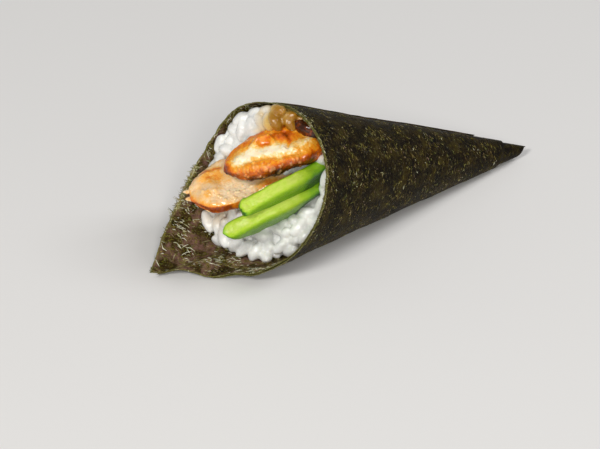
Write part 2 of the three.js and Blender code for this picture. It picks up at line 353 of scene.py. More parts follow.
FIBRE_COLOURS = (
    (0.0, (0.008, 0.005, 0.002)),
    (0.25, (0.08, 0.042, 0.007)),
    (0.42, (0.2, 0.16, 0.012)),
    (0.58, (0.1, 0.13, 0.015)),
    (0.7, (0.34, 0.28, 0.05)),
    (0.82, (0.26, 0.16, 0.12)),
    (0.92, (0.5, 0.5, 0.24)),
    (1.0, (0.8, 0.8, 0.62)),
)


def nori_material(name):
    """Pressed seaweed: a near-black ground under tangled fibres, lighter and browner on its inner face,
    partly its own paler colour and partly a painted sheen of the light that grazes the flap.
    """
    m = Shader(name)
    sheet = m.sheet()
    inner = m.value("inner")
    patches = m.noise(sheet, 0.17, 5.0, 0.68)
    ground = m.ramp(patches, (
        (0.36, (0.001, 0.0006, 0.0004)),
        (0.48, (0.006, 0.003, 0.001)),
        (0.6, (0.028, 0.018, 0.003)),
        (0.72, (0.05, 0.042, 0.005)),
    ))
    # the inner face's colour: partly its own, partly a painted sheen of the grazing light
    inner_tone_and_sheen = m.ramp(patches, (
        (0.34, (0.008, 0.004, 0.002)),
        (0.47, (0.045, 0.028, 0.008)),
        (0.58, (0.19, 0.1, 0.08)),
        (0.7, (0.22, 0.17, 0.04)),
    ))
    colour = m.mix(inner, ground, inner_tone_and_sheen)
    height = m.noise(sheet, 1.3, 6.0, 0.7)
    for turn, scale, thin in FIBRE_LAYERS:
        heading = m.span(inner, 0.0, 1.0, OUTER_GRAIN + turn, INNER_GRAIN + turn)
        bent = m.scaled(m.turned(sheet, heading), (0.3, 1.1, 1))
        tangle = m.noise(bent, scale, 2.0, 0.5, 1.0)
        line = m.span(m.math("ABSOLUTE", m.math("SUBTRACT", tangle, 0.5)), thin, 0.0)
        piece = m.span(m.noise(sheet, 0.9 * scale, 3.0), 0.45, 0.6)
        shown = m.math("MULTIPLY", line, piece)
        tone = m.noise(sheet, 0.5 * scale, 4.0, 0.7)
        fibre = m.ramp(m.span(tone, 0.3, 0.7), FIBRE_COLOURS)
        # fibres show more on the inner face: partly real, partly painted sheen
        share = m.math("MULTIPLY", shown, m.span(inner, 0.0, 1.0, 0.25, 0.9))
        colour = m.mix(share, colour, fibre)
        height = m.math("ADD", height, m.math("MULTIPLY", shown, 0.5))
    m.set(
        Base_Color=m.mix(m.math("MULTIPLY", m.value("rim"), 0.7), colour, RIM_COLOUR),
        Roughness=m.span(height, 0.3, 1.1, 0.4, 0.6),
        Specular_IOR_Level=0.05,
        Specular_Tint=(0.92, 0.84, 1.0, 1),
        Normal=m.bump(height, 0.25),
    )
    return m.material


def fibre_material(name):
    m = Shader(name)
    m.set(Base_Color=m.ramp(m.value("tone"), FIBRE_COLOURS), Roughness=0.4, Specular_IOR_Level=0.35)
    return m.material


def nori_point(phi, rho, lift):
    psi = azimuth_of(phi)
    s = rho * math.cos(WRAP_ANGLE)
    r = wall_radius(s, psi, stand_off(psi) + lift, stand_off_below(psi) + lift) - curl(psi, rho)
    turn = psi - TURN * np.round(psi / TURN)
    loose = smooth((rho - FLAP_START) / LOOSENING)
    near_corner = loose * smooth(1 - np.abs(turn - CORNER_PSI) / CORNER_SPREAD)
    points = on_cone(s, psi, r) + near_corner[..., None] * np.array(CORNER_PULL)
    points[..., 2] = np.maximum(points[..., 2], FLOOR)
    return points


def relief(s, psi):
    """Dents and wrinkles of the rolled sheet, alike in all its layers, and none on the flat it rests on."""
    flat = on_cone(s, psi, s * SLOPE).reshape(-1, 3)
    waves = DENT * noise_at(flat, DENT_SIZE, 3.1) + WRINKLE * noise_at(flat, WRINKLE_SIZE, 7.7)
    resting = smooth(1.6 - np.abs(psi - TURN * np.round(psi / TURN)) / (FLAT_HALF_ANGLE * 1.3))
    return waves.reshape(s.shape) * np.clip(s / FULLY_DENTED, 0.15, 1) * (1 - resting)


def build_nori(material):
    knots = (0, CORNER_PHI - FULL_TURN, CORNER_PHI, OUTER_END)
    pieces = [
        np.linspace(a, b, round(NORI_COLUMNS * (b - a) / OUTER_END), endpoint=False)
        for a, b in zip(knots, knots[1:])
    ]
    phi = np.concatenate([*pieces, [OUTER_END]])
    share = 1 - (1 - np.linspace(0, 1, NORI_ROWS)) ** RIM_CROWDING
    edge = np.stack([phi * 400, phi * 0, phi * 0], -1)  # along the rim, for its noise
    ragged = 0.35 * noise_at(edge, 6, 1.5) + 0.35 * noise_at(edge, 1.7, 4.5) - 0.2
    start = POINT_START + POINT_RISE * phi / OUTER_END
    end = rim_radius(phi) + ragged
    rho = start + (end - start) * share[:, None]
    phi = np.broadcast_to(phi, rho.shape)
    dents = relief(rho * math.cos(WRAP_ANGLE), azimuth_of(phi))
    inner, outer = (nori_point(phi, rho, lift + dents).reshape(-1, 3) for lift in LEAF)
    rows, columns = rho.shape
    faces = grid_faces(rows, columns, False)
    count = rows * columns
    border = np.concatenate([
        np.arange(columns),
        np.arange(1, rows) * columns + columns - 1,
        count - 2 - np.arange(columns - 1),
        (rows - 2 - np.arange(rows - 1)) * columns,
    ])
    following = np.roll(border, -1)
    walls = np.stack([border, following, following + count, border + count], -1)
    faces = np.concatenate([faces, faces[:, ::-1] + count, walls])
    flat = np.stack([rho * np.cos(phi), rho * np.sin(phi)], -1).reshape(-1, 2) / SHEET_UNIT
    near_rim = smooth(1 - (end - rho) / 0.7).ravel()
    return make(
        "nori_leaf", np.concatenate([inner, outer]), faces, material, "nori",
        uv=np.concatenate([flat, flat]),
        values={
            "inner": np.repeat([1.0, 0.0], count),
            "rim": np.concatenate([near_rim, near_rim]),
        },
    )


def ribbons(rng, phi, rho, heading, length, face):
    """Bent slivers lying on the leaf: three rings of three points each, pointed at both ends.
    heading is the angle from the way out to the rim; face is 1 outside and -1 inside."""
    count = len(phi)
    width = rng.uniform(*FIBRE_WIDTH, count)
    thick = rng.uniform(*FIBRE_THICKNESS, count)
    bend = rng.normal(0, FIBRE_BEND, count) * length
    share = np.array([-1.0, 0.0, 1.0])
    along = share * length[:, None] / 2
    aside = (1 - share**2) * bend[:, None]
    slim = 1 - 0.7 * np.abs(share)
    rings = []
    for offset, rise in ((-0.5, 0.0), (0.0, 1.0), (0.5, 0.0)):
        across = aside + offset * width[:, None] * slim
        out = along * np.cos(heading)[:, None] - across * np.sin(heading)[:, None]
        sideways = along * np.sin(heading)[:, None] + across * np.cos(heading)[:, None]
        here_rho = rho[:, None] + out
        here_phi = np.clip(phi[:, None] + sideways / here_rho, 0, OUTER_END)
        dents = relief(here_rho * math.cos(WRAP_ANGLE), azimuth_of(here_phi))
        surface = LEAF[1] if face > 0 else LEAF[0]
        lift = surface + face * (0.01 + rise * thick[:, None] * slim) + dents
        rings.append(nori_point(here_phi, here_rho, lift))
    points = np.stack(rings, 2).reshape(-1, 3)
    first = np.arange(count)[:, None] * FIBRE_POINTS + np.array([0, 3])
    sides = [
        np.stack([first + a, first + b, first + b + 3, first + a + 3], -1).reshape(-1, 4)
        for a, b in ((0, 1), (1, 2), (2, 0))
    ]
    return points, np.concatenate(sides)


def build_fibres(material):
    """Short fibres and flecks on both faces of the leaf, and the frayed ends that stand out of its rim."""
    rng = np.random.RandomState(3)
    groups = []

    def scatter(count, first, last, inmost, heading, spread, lengths, paler, face):
        phi = rng.uniform(first, last, count)
        rim = rim_radius(phi)
        inmost = np.maximum(inmost, POINT_START + POINT_RISE * phi / OUTER_END + 1)
        rho = np.sqrt(rng.uniform(inmost**2, (rim - 0.8) ** 2))
        flat = np.stack([rho * np.cos(phi), rho * np.sin(phi), 0 * rho], -1)
        clump = noise_at(flat, 5, 2.0) + 0.5 * noise_at(flat, 1.6, 5.0)
        kept = rng.uniform(-0.3, 0.6, count) < clump
        phi, rho, flat = phi[kept], rho[kept], flat[kept]
        length = rng.gamma(4, lengths / 4, len(phi))
        tone = paler + rng.beta(1.1, 1.5, len(phi)) + 0.4 * noise_at(flat, 7, 9.0)
        heading = rng.normal(heading, spread, len(phi))
        groups.append((*ribbons(rng, phi, rho, heading, length, face), np.clip(tone, 0, 1)))

    def fray(count, first, last, tufts, lengths, face):
        phi = rng.uniform(first, last, count)
        tuft = noise_at(np.stack([phi * 120, 0 * phi, 0 * phi], -1), 5, 6.0)
        phi = phi[rng.uniform(-0.5, tufts, count) < tuft]
        rho = rim_radius(phi) - rng.uniform(0.1, 0.7, len(phi))
        length = rng.gamma(3, lengths / 3, len(phi))
        heading = rng.uniform(-1.4, 1.4, len(phi))
        ends = ribbons(rng, phi, rho, heading, length, face)
        groups.append((*ends, rng.uniform(0.45, 1.0, len(phi))))

    scatter(
        OUTER_FIBRES, OUTER_END - OUTER_SPREAD, OUTER_END,
        inmost=20, heading=math.pi / 2, spread=0.6, lengths=0.75, paler=-0.04, face=1,
    )
    # the inner face's fibres are paler: partly their own colour, partly a painted sheen of the grazing light
    scatter(
        INNER_FIBRES, 0, INNER_SPREAD,
        inmost=88, heading=0.65, spread=0.4, lengths=1.1, paler=0.26, face=-1,
    )
    fray(RIM_FIBRES, 0, INNER_FRINGE, RIM_TUFTS, RIM_LENGTH, -1)
    fray(RIM_FIBRES, OUTER_END - OUTER_FRINGE, OUTER_END, RIM_TUFTS, RIM_LENGTH, 1)
    for first, last, face in FRAYED:
        fray(FRAYED_FIBRES, first, last, FRAYED_TUFTS, FRAYED_LENGTH, face)
    starts = np.cumsum([0] + [len(g[0]) for g in groups])
    return make(
        "nori_fibres",
        np.concatenate([g[0] for g in groups]),
        np.concatenate([g[1] + start for g, start in zip(groups, starts)]),
        material,
        values={"tone": np.concatenate([np.repeat(g[2], FIBRE_POINTS) for g in groups])},
    )


# ---- Fillings ---------------------------------------------------------------------------------
def rounded(t, a, b):
    """Share of full size at length share t, with the two ends rounded off over the shares a and b."""
    near = np.where(t < a, np.sqrt(np.maximum(0, 1 - (1 - t / a) ** 2)), 1)
    far = np.where(t > 1 - b, np.sqrt(np.maximum(0, 1 - (1 - (1 - t) / b) ** 2)), 1)
    return np.maximum(0.15, near * far)


def profile(size, near, far, narrowing=0):
    """Width or height along a piece that is rounded off at both ends and narrows towards the far one."""
    return lambda t: (size - narrowing * t) * rounded(t, near, far)


def spine_at(points, t):
    """Centripetal Catmull-Rom curve through the points."""
    p = np.array(points, float)
    p = np.concatenate([[2 * p[0] - p[1]], p, [2 * p[-1] - p[-2]]])
    k = np.minimum((t * (len(points) - 1)).astype(int), len(points) - 2)
    w = (t * (len(points) - 1) - k)[:, None]
    p0, p1, p2, p3 = (p[k + n] for n in range(4))
    d0, d1, d2 = (np.linalg.norm(b - a, axis=1)[:, None] ** 0.5 for a, b in ((p0, p1), (p1, p2), (p2, p3)))
    m1 = ((p1 - p0) / d0 - (p2 - p0) / (d0 + d1) + (p2 - p1) / d1) * d1
    m2 = ((p2 - p1) / d1 - (p3 - p1) / (d1 + d2) + (p3 - p2) / d2) * d1
    return p1 + m1 * w + (3 * (p2 - p1) - 2 * m1 - m2) * w**2 + (2 * (p1 - p2) + m1 + m2) * w**3


def unit(v):
    return v / np.linalg.norm(v, axis=-1, keepdims=True)


def slab(spine, face, width, height, corner, rings, around, shift=0):
    """A slab lofted along a spine, which lies off its middle by that shift as a share of the width.
    Gives the points, the quads, and each point's length share t and angle a round the section."""
    t = np.linspace(0, 1, rings)
    centre = spine_at(spine, t)
    along = unit(spine_at(spine, np.minimum(1, t + 1e-3)) - spine_at(spine, np.maximum(0, t - 1e-3)))
    across = unit(np.cross(along, unit(np.array(face, float))))
    thick = np.cross(across, along)
    centre = centre + across * (shift * width(t))[:, None]
    a = TURN * (np.arange(around) + 0.5) / around
    c = np.sign(np.cos(a)) * np.abs(np.cos(a)) ** corner
    d = np.sign(np.sin(a)) * np.abs(np.sin(a)) ** corner
    half_width, half_height = width(t) / 2, height(t) / 2
    points = (
        centre[:, None]
        + across[:, None] * (half_width[:, None] * c)[..., None]
        + thick[:, None] * (half_height[:, None] * d)[..., None]
    )
    ends = [centre[0] - along[0] * 0.3, centre[-1] + along[-1] * 0.3]
    near_end, far_end = (np.repeat([end], around, 0) for end in ends)
    flat = np.concatenate([near_end, points.reshape(-1, 3), far_end])
    faces = grid_faces(rings + 2, around, True)
    t_all = np.concatenate([np.zeros(around), np.repeat(t, around), np.ones(around)])
    a_all = np.tile(a, rings + 2)
    return flat, faces, t_all, a_all


# ---- Avocado ----------------------------------------------------------------------------------
AVOCADO_WIDTH = 12.5
AVOCADO_RINGS = 90
AVOCADO_AROUND = 110
AVOCADO_LOW = ((-125.2, -4, 15.6), (-117, -8.8, 20.4), (-102, -12.4, 24.6), (-82, -8.5, 25))
AVOCADO_HIGH = ((-121.8, -8, 24.6), (-114, -11.2, 29), (-101, -12.5, 32), (-82, -8, 31))
LOW_CUT_FACE = (-0.1, -0.72, -0.68)  # the way the cut face of each slice looks
HIGH_CUT_FACE = (0.3, -0.84, -0.42)


def avocado_material(name):
    m = Shader(name)
    place = m.place()
    depth = m.value("depth")
    streaks = m.noise(m.scaled(place, (0.35, 0.9, 0.9)), 1.1, 5.0, 0.6)
    tone = m.math("ADD", depth, m.math("MULTIPLY", m.math("SUBTRACT", streaks, 0.5), 0.55))
    colour = m.ramp(tone, (
        (0.0, (0.64, 0.76, 0.13)),
        (0.25, (0.48, 0.7, 0.03)),
        (0.55, (0.3, 0.58, 0.004)),
        (0.8, (0.14, 0.4, 0.002)),
        (1.0, (0.03, 0.13, 0.001)),
    ))
    grain = m.noise(place, 1.8, 6.0, 0.65)
    m.set(
        Base_Color=colour,
        Roughness=m.span(grain, 0.3, 0.7, 0.26, 0.45),
        Specular_IOR_Level=0.4,
        Subsurface_Weight=0.15,
        Subsurface_Radius=(0.7, 1.0, 0.2),
        Subsurface_Scale=0.0012,
        Coat_Weight=0.15,
        Coat_Roughness=0.2,
        Normal=m.bump(grain, 0.6),
    )
    return m.material


def build_avocado(name, spine, face, thickness, rough_end, material, node):
    points, faces, t, a = slab(
        spine, face, profile(AVOCADO_WIDTH, 0.4, 0.45), profile(thickness, 0.1, 0.3),
        corner=0.5, rings=AVOCADO_RINGS, around=AVOCADO_AROUND, shift=0.5,
    )
    out = normals_of(points, faces)
    torn = rough_end * smooth(1 - t / 0.2)
    move = 0.22 * noise_at(points, 3.5, 2.2) + (0.1 + 0.4 * torn) * noise_at(points, 1.2, 5.2)
    points = points + out * (move + torn * noise_at(points, 2.6, 7.2))[:, None]
    # pale along the middle of the cut edge, and greener towards the skin side and the ends
    from_edge = (1 + np.cos(a)) / 2
    off_middle = np.abs(np.sin(a)) ** 1.5
    ends = smooth(1 - t / 0.06) + smooth((t - 0.62) / 0.15)
    depth = np.clip(0.1 + 0.5 * off_middle * (1 - from_edge) + 0.75 * from_edge + 0.5 * ends, 0, 1)
    return make(name, points, faces, material, node, values={"depth": depth})


# ---- Chicken ----------------------------------------------------------------------------------
CHICKEN_FACE = (-0.42, -0.05, 0.9)
CHICKEN_RINGS = 170
CHICKEN_AROUND = 200

# Each form is a path on the meat, its radius, and how far the meat rises along it, or sinks below zero.
UPPER_FORMS = (
    # the rolled edge, and the fold it closes round
    (((-108.2, 3.2, 36.7), (-105.4, 4.4, 37.6), (-102.8, 2.8, 38.4), (-102.8, 0, 38.1)), 1.0, 1.5),
    (((-106.2, 2.6, 37.4), (-104.4, 1.6, 37.9), (-103.9, 0.2, 38)), 0.7, -0.75),
    # the knob behind, and the cleft beside it
    (((-99.8, 0.4, 38.7), (-98.8, -1.2, 38.8)), 1.7, 1.2),
    (((-97.6, 1.6, 39), (-98.4, -2.4, 38.7), (-100.8, -4.4, 38)), 0.75, -0.95),
    # the right-hand lobe, the long groove, the roll in front of it and the left tip
    (((-96.4, -6, 38.4), (-92.6, -6.6, 38.8)), 2.6, 0.9),
    (((-114.2, 1.2, 34), (-109.4, -2.2, 35.8), (-104, -5.8, 36.4), (-98.6, -8.2, 36.6)), 0.9, -0.8),
    (((-115.8, 2.4, 31.8), (-111.5, -4.2, 32.4), (-104.5, -8.2, 33.6), (-98, -10.4, 34.8)), 2.2, 0.7),
    (((-117.4, 6, 31),), 2.2, 0.5),
)
# Each tint is a path, its radius, and how much darker the meat is along it, or paler below zero.
UPPER_TINTS = (
    # bare cream meat, on the middle and on the right-hand lobe
    (((-114.6, 2.8, 34), (-110, 1.6, 36), (-105.6, -2.2, 37.2), (-101.4, -4.6, 37.8)), 2.5, -0.48),
    (((-96.6, -6.4, 38.2), (-93, -7.2, 38.6)), 2.2, -0.3),
    # glaze in the fold and on the knob, and painted shade in the cleft
    (((-106, 2.5, 37.4), (-104.4, 1.6, 37.9), (-103.9, 0.2, 38)), 0.7, 0.15),
    (((-97.6, 1.6, 39), (-98.4, -2.4, 38.7), (-100.8, -4.4, 38)), 0.7, 0.2),
    (((-100.4, 1.4, 38.6), (-98.6, -0.6, 39)), 1.8, 0.16),
    # darker: the left tip, which the grill caught, the low side, where painted shade is added to browner
    # glaze, the front roll and the far right
    (((-117.5, 5.6, 31.2), (-116.2, 2.2, 30.2)), 1.9, 0.4),
    (((-113, -3.4, 29.8), (-104, -8.6, 31), (-97, -11, 32)), 2.2, 0.3),
    (((-107, -7, 32.6), (-103, -9.2, 33.2), (-96.5, -11.4, 34.4)), 1.9, 0.36),
    (((-90.5, -8.5, 38), (-88, -8, 38)), 2.6, 0.35),
)
UPPER_BLISTERS = ((-114.4, 0.4, 32.4), (-111.2, -4.4, 32.6), (-107.2, -6.8, 33.4), (-101.5, -8.8, 34.6))
UPPER_BLISTER_COUNT = 60
LOWER_FORMS = (
    # the pointed tip and the sunken front edge beside it
    (((-123.6, 18.6, 20.4),), 1.6, 1.9),
    (((-125.4, 12.4, 17.8), (-124.6, 8.4, 17.4)), 2.2, -1.1),
    # the hollow, the raised far edge, and two low humps
    (((-117, 5, 24), (-112.4, 3.4, 24.8)), 3.4, -1.0),
    (((-121.4, 16, 22.6), (-116.6, 16.4, 24.6), (-111.6, 12.6, 26)), 1.5, 0.7),
    (((-121.8, 10.8, 21.6), (-119, 8.6, 22.8)), 1.5, 0.5),
    (((-106.8, -1.6, 26), (-104, -4, 26)), 1.6, 0.4),
)
LOWER_TINTS = (
    # the yellow patch, and the browned front and far edges
    (((-117.6, 14.4, 24), (-115.4, 11.6, 24.4)), 2.4, 0.32),
    (((-124.6, 17.4, 19), (-125, 11.6, 18.2), (-122.6, 5.6, 18.4), (-118.6, 1.6, 19.2)), 1.7, 0.52),
    (((-122.6, 18.8, 21), (-118.6, 18.6, 23.8), (-112.8, 14.8, 25.8)), 1.1, 0.44),
    # the paler hollow, and glaze on the two humps
    (((-117, 4.6, 24), (-111.6, 3.2, 24.8)), 3.2, -0.16),
    (((-108, -1, 25.6), (-104, -4.4, 25.8)), 2.2, 0.34),
    (((-121.4, 9.4, 21.8),), 1.2, 0.25),
)
LOWER_BLISTERS = ((-119.4, 7.6, 23), (-115, 3.2, 23.8), (-111.4, 0.8, 24.6))
LOWER_BLISTER_COUNT = 26


def chicken_material(name, stops):
    """Wet grilled meat, from bare flesh where the glaze value is 0 to burnt where it is 1; high values also
    carry painted shade, and the blisters' paler tops are a painted highlight.
    """
    m = Shader(name)
    place = m.place()
    mottle = m.noise(place, 0.5, 6.0, 0.62, 0.8)
    fine = m.noise(place, 2.0, 3.0, 0.5)
    fibres = m.noise(m.scaled(place, (0.3, 1.3, 1.3)), 1.3, 2.0, 0.5)
    tone = m.math("ADD", m.value("glaze_and_shade"), m.math("MULTIPLY", m.math("SUBTRACT", mottle, 0.5), 0.75))
    tone = m.math("ADD", tone, m.math("MULTIPLY", m.math("SUBTRACT", fine, 0.5), 0.3))
    # paler on the blisters' tops: a painted highlight
    colour = m.mix(m.math("MULTIPLY", m.value("blister_highlight"), 0.22), m.ramp(tone, stops), (0.95, 0.6, 0.2))
    wet = m.math("ADD", fine, m.math("MULTIPLY", fibres, 0.8))
    m.set(
        Base_Color=colour,
        Roughness=m.span(mottle, 0.35, 0.65, 0.18, 0.36),
        Subsurface_Weight=0.2,
        Subsurface_Radius=(1.0, 0.45, 0.15),
        Subsurface_Scale=0.0014,
        Specular_IOR_Level=0.2,
        Coat_Weight=0.6,
        Coat_Roughness=0.04,
        Normal=m.bump(wet, 0.16),
    )
    return m.material


def along_path(points, path, radius):
    """1 on the path, falling to 0 within about two radii of it."""
    path = np.array(path, float)
    nearest = np.linalg.norm(points - path[0], axis=1)
    for start, end in zip(path, path[1:]):
        way = end - start
        share = np.clip((points - start) @ way / (way @ way), 0, 1)
        nearest = np.minimum(nearest, np.linalg.norm(points - start - share[:, None] * way, axis=1))
    return np.exp(-((nearest / radius) ** 2))


def blisters_on(points, path, count, seed):
    """How high small glazed bubbles stand at each point; they crowd along the path."""
    rng = np.random.RandomState(seed)
    crowd = along_path(points, path, 2.6)
    rise = np.zeros(len(points))
    for k in rng.choice(len(points), count, p=crowd / crowd.sum()):
        radius = rng.uniform(0.3, 0.75)
        near = np.linalg.norm(points - points[k], axis=1) / radius
        rise = np.maximum(rise, 0.8 * radius * np.maximum(0, 1 - near**2) ** 1.3)
    return rise


def build_chicken(name, spine, width, height, material, node, seed, glaze_and_shade, forms=(), tints=(), blisters=None):
    """The glaze function gives how dark it is from how far a spot faces upwards, with painted shade where it
    faces down; blisters are a path and a count.
    """
    points, faces, _, _ = slab(
        spine, CHICKEN_FACE, width, height, corner=0.6, rings=CHICKEN_RINGS, around=CHICKEN_AROUND,
    )
    out = normals_of(points, faces)
    top = out @ unit(np.array(CHICKEN_FACE))
    move = 0.55 * noise_at(points, 6, seed) + 0.4 * noise_at(points, 2.8, seed + 1)
    move += 0.16 * noise_at(points, 1.1, seed)
    for path, radius, rise in forms:
        move += rise * along_path(points, path, radius)
    tone = glaze_and_shade(top)
    for path, radius, amount in tints:
        tone += amount * along_path(points, path, radius)
    rise = blisters_on(points, *blisters, seed=int(seed)) if blisters else np.zeros(len(points))
    points = points + out * (move + rise)[:, None]
    # the blister value marks the blisters' tops, for their painted highlight
    return make(
        name, points, faces, material, node,
        values={"glaze_and_shade": np.clip(tone, 0, 1), "blister_highlight": np.clip(rise / 0.25, 0, 1)},
    )


# Loose ends of meat, each a path and its thickness.
FLAKES = (
    (((-124.8, 16.4, 17.8), (-123.4, 14.8, 18.2), (-121.6, 13.2, 19)), 1.7),
    (((-124.2, 18.6, 19.2), (-123, 17, 19.6), (-121, 15.4, 20.4)), 1.5),
    (((-122.8, 8, 17.2), (-121.6, 6.6, 17.4), (-120.2, 5, 17.6)), 1.5),
    (((-108.8, -2.8, 25), (-107, -3.6, 25.6), (-105, -4.6, 26)), 1.4),
)


def build_flakes(material):
    points, faces, count = [], [], 0
    for path, thickness in FLAKES:
        p, f, _, _ = slab(
            path, CHICKEN_FACE, profile(thickness, 0.6, 0.6), profile(0.7 * thickness, 0.6, 0.6),
            corner=0.8, rings=30, around=24,
        )
        points.append(p + 0.25 * np.stack([noise_at(p, 1.2, seed) for seed in (1.0, 4.0, 7.0)], -1))
        faces.append(f + count)
        count += len(p)
    points = np.concatenate(points)
    return make(
        "chicken_flakes", points, np.concatenate(faces), material,
        values={"glaze_and_shade": 0.12 + 0.3 * np.abs(noise_at(points, 2, 3.0)), "blister_highlight": np.zeros(len(points))},
    )


# ---- Rice -------------------------------------------------------------------------------------
RICE_FOOT = -122
RICE_SLOPE = 0.53
RICE_SIDE = 0.76
RICE_EDGE = 4.5
RICE_HOLLOW = 4
HOLLOW_Z = (32, 40)
MOUTH_Y = (-26, 28)  # the box in which grains are tried; those outside the cone are dropped
MOUTH_Z = (0, 49)
GRAIN_COUNT = 250
PACKING_STEPS = 60
CLEARING_STEP = 4  # the grains are moved out of the fillings once in as many steps
GRAIN_RADIUS = 1.9
GRAIN_REACH = 1.6  # from a grain's middle to the centres of its rounded ends
RICE_DEPTH = 7.5
RICE_BACK = 4.4  # how far behind the face the solid mass begins
RICE_START = 24  # s where it ends, out of sight behind the open point of the cone
SKIN = 0.35  # how finely the joined rice is divided
LIGHT_SAUCE = (0.66, 0.45, 0.13)
DARK_SAUCE = (0.36, 0.17, 0.012)
SAUCED_SPOT = (-118, 12, 14)  # just below the lower chicken


def rice_face(y, z):
    """x of the face that the rice shows in the mouth of the cone."""
    hollow = smooth((z - HOLLOW_Z[0]) / (HOLLOW_Z[1] - HOLLOW_Z[0])) * smooth(1 - y / RICE_EDGE)
    return RICE_FOOT + RICE_SLOPE * z + RICE_SIDE * np.maximum(0, RICE_EDGE - y) + RICE_HOLLOW * hollow


def uneven(points):
    """How far back the face of the rice lies here, because it was torn and not cut."""
    y, z = points[:, 1], points[:, 2]
    return 1.6 * np.sin(y / 2.9 + 1.3 * np.sin(z / 3.3)) * np.sin(z / 2.7 + 1) + 0.6


def into_cavity(p, radius):
    """Moves points in, so that balls of that radius are clear of the nori."""
    rel = p - np.array([0, 0, POINT_HEIGHT])
    s = rel @ AXIS
    u = rel @ SIDE - drift(s)
    v = rel @ DOWN
    psi = np.arctan2(u, v)
    psi = psi + TURN * np.floor((INNER_PSI - psi) / TURN)
    far = np.hypot(u, v)
    wall = wall_radius(s, psi, stand_off(psi), stand_off_below(TURN))
    wall = wall - np.maximum(0, curl(psi, s / math.cos(WRAP_ANGLE)))
    over = np.maximum(0, far - (wall - radius))
    return p - over[:, None] * unit(u[:, None] * SIDE + v[:, None] * DOWN)


def out_of(tree, p, radius):
    """Moves balls out of a solid."""
    for k, point in enumerate(p):
        spot, normal, _, distance = tree.find_nearest(Vector((point + POINT) * MM), 6 * MM)
        if spot is None:
            continue
        spot = np.array(spot) / MM - POINT
        inside = (point - spot) @ np.array(normal) < 0
        if inside:
            p[k] = spot + np.array(normal) * radius
        elif distance < radius * MM:
            p[k] = spot + (point - spot) / max(1e-6, distance / MM) * radius
    return p


def packed_grains(obstacles):
    """Middles and directions of grains of rice pressed together behind the rice's face."""
    rng = np.random.RandomState(11)
    middle = []
    while len(middle) < GRAIN_COUNT:
        y, z = rng.uniform(*MOUTH_Y), rng.uniform(*MOUTH_Z)
        p = np.array([[rice_face(y, z) + rng.uniform(0, RICE_DEPTH), y, z]])
        if np.linalg.norm(into_cavity(p, GRAIN_RADIUS) - p) < 0.5:
            middle.append(p[0])
    middle = np.array(middle)
    heading = unit(rng.normal(size=middle.shape) * (0.7, 1, 1))
    ends = np.stack([-1, 0, 1] * np.ones((GRAIN_COUNT, 1)), 0)[..., None] * heading[:, None] * GRAIN_REACH
    balls = middle[:, None] + ends
    grain_of = np.repeat(np.arange(GRAIN_COUNT), 3)
    for step in range(PACKING_STEPS):
        p = balls.reshape(-1, 3)
        gap = p[:, None] - p[None]
        distance = np.sqrt((gap**2).sum(-1)) + 1e-6
        press = np.maximum(0, 2 * GRAIN_RADIUS * 0.9 - distance)
        press[grain_of[:, None] == grain_of[None]] = 0
        p = p + 0.25 * (gap * (press / distance)[..., None]).sum(1)
        front = rice_face(p[:, 1], p[:, 2]) + 0.4 * GRAIN_RADIUS + uneven(p)
        p[:, 0] = np.clip(p[:, 0], front, front + RICE_DEPTH)
        if step % CLEARING_STEP == CLEARING_STEP - 1:
            for tree in obstacles:
                p = out_of(tree, p, GRAIN_RADIUS * 0.9)
        p = into_cavity(p, GRAIN_RADIUS * 0.95)
        balls = p.reshape(-1, 3, 3)
        middle = balls.mean(1)
        heading = unit(balls[:, 2] - balls[:, 0])
        balls = middle[:, None] + np.array([-1, 0, 1])[None, :, None] * heading[:, None] * GRAIN_REACH
    return middle, heading


def rice_material(name):
    """Pale shiny grains, stained gold and then brown where sauce has soaked in."""
    m = Shader(name)
    sauce = m.value("sauce")
    place = m.place()
    fine = m.noise(place, 1.6, 4.0)
    whiteness = m.math("ADD", m.value("own"), m.math("MULTIPLY", fine, 0.3))
    clean = m.ramp(whiteness, (
        (0.1, (0.6, 0.6, 0.58)),
        (0.5, (0.75, 0.75, 0.72)),
        (0.9, (0.88, 0.88, 0.84)),
    ))
    colour = m.mix(m.span(sauce, 0.0, 0.5), clean, LIGHT_SAUCE)
    colour = m.mix(m.span(sauce, 0.4, 1.0), colour, DARK_SAUCE)
    m.set(
        Base_Color=colour,
        Roughness=m.span(fine, 0.3, 0.7, 0.16, 0.3),
        Subsurface_Weight=0.7,
        Subsurface_Radius=(1.0, 0.95, 0.85),
        Subsurface_Scale=0.0016,
        Coat_Weight=0.25,
        Coat_Roughness=0.15,
        Normal=m.bump(fine, 0.12),
    )
    return m.material


def sauce_on(points):
    """How much sauce has soaked in: at the top, behind the upper chicken, and a little under the lower."""
    y, z = points[:, 1], points[:, 2]
    top = smooth((z - 31) / 11) * smooth((15 - y) / 15)
    near_meat = 0.35 * smooth(1 - np.linalg.norm(points - SAUCED_SPOT, axis=1) / 10)
    return np.clip(top + near_meat + 0.35 * noise_at(points, 5, 8.8) * (top > 0.05), 0, 1)


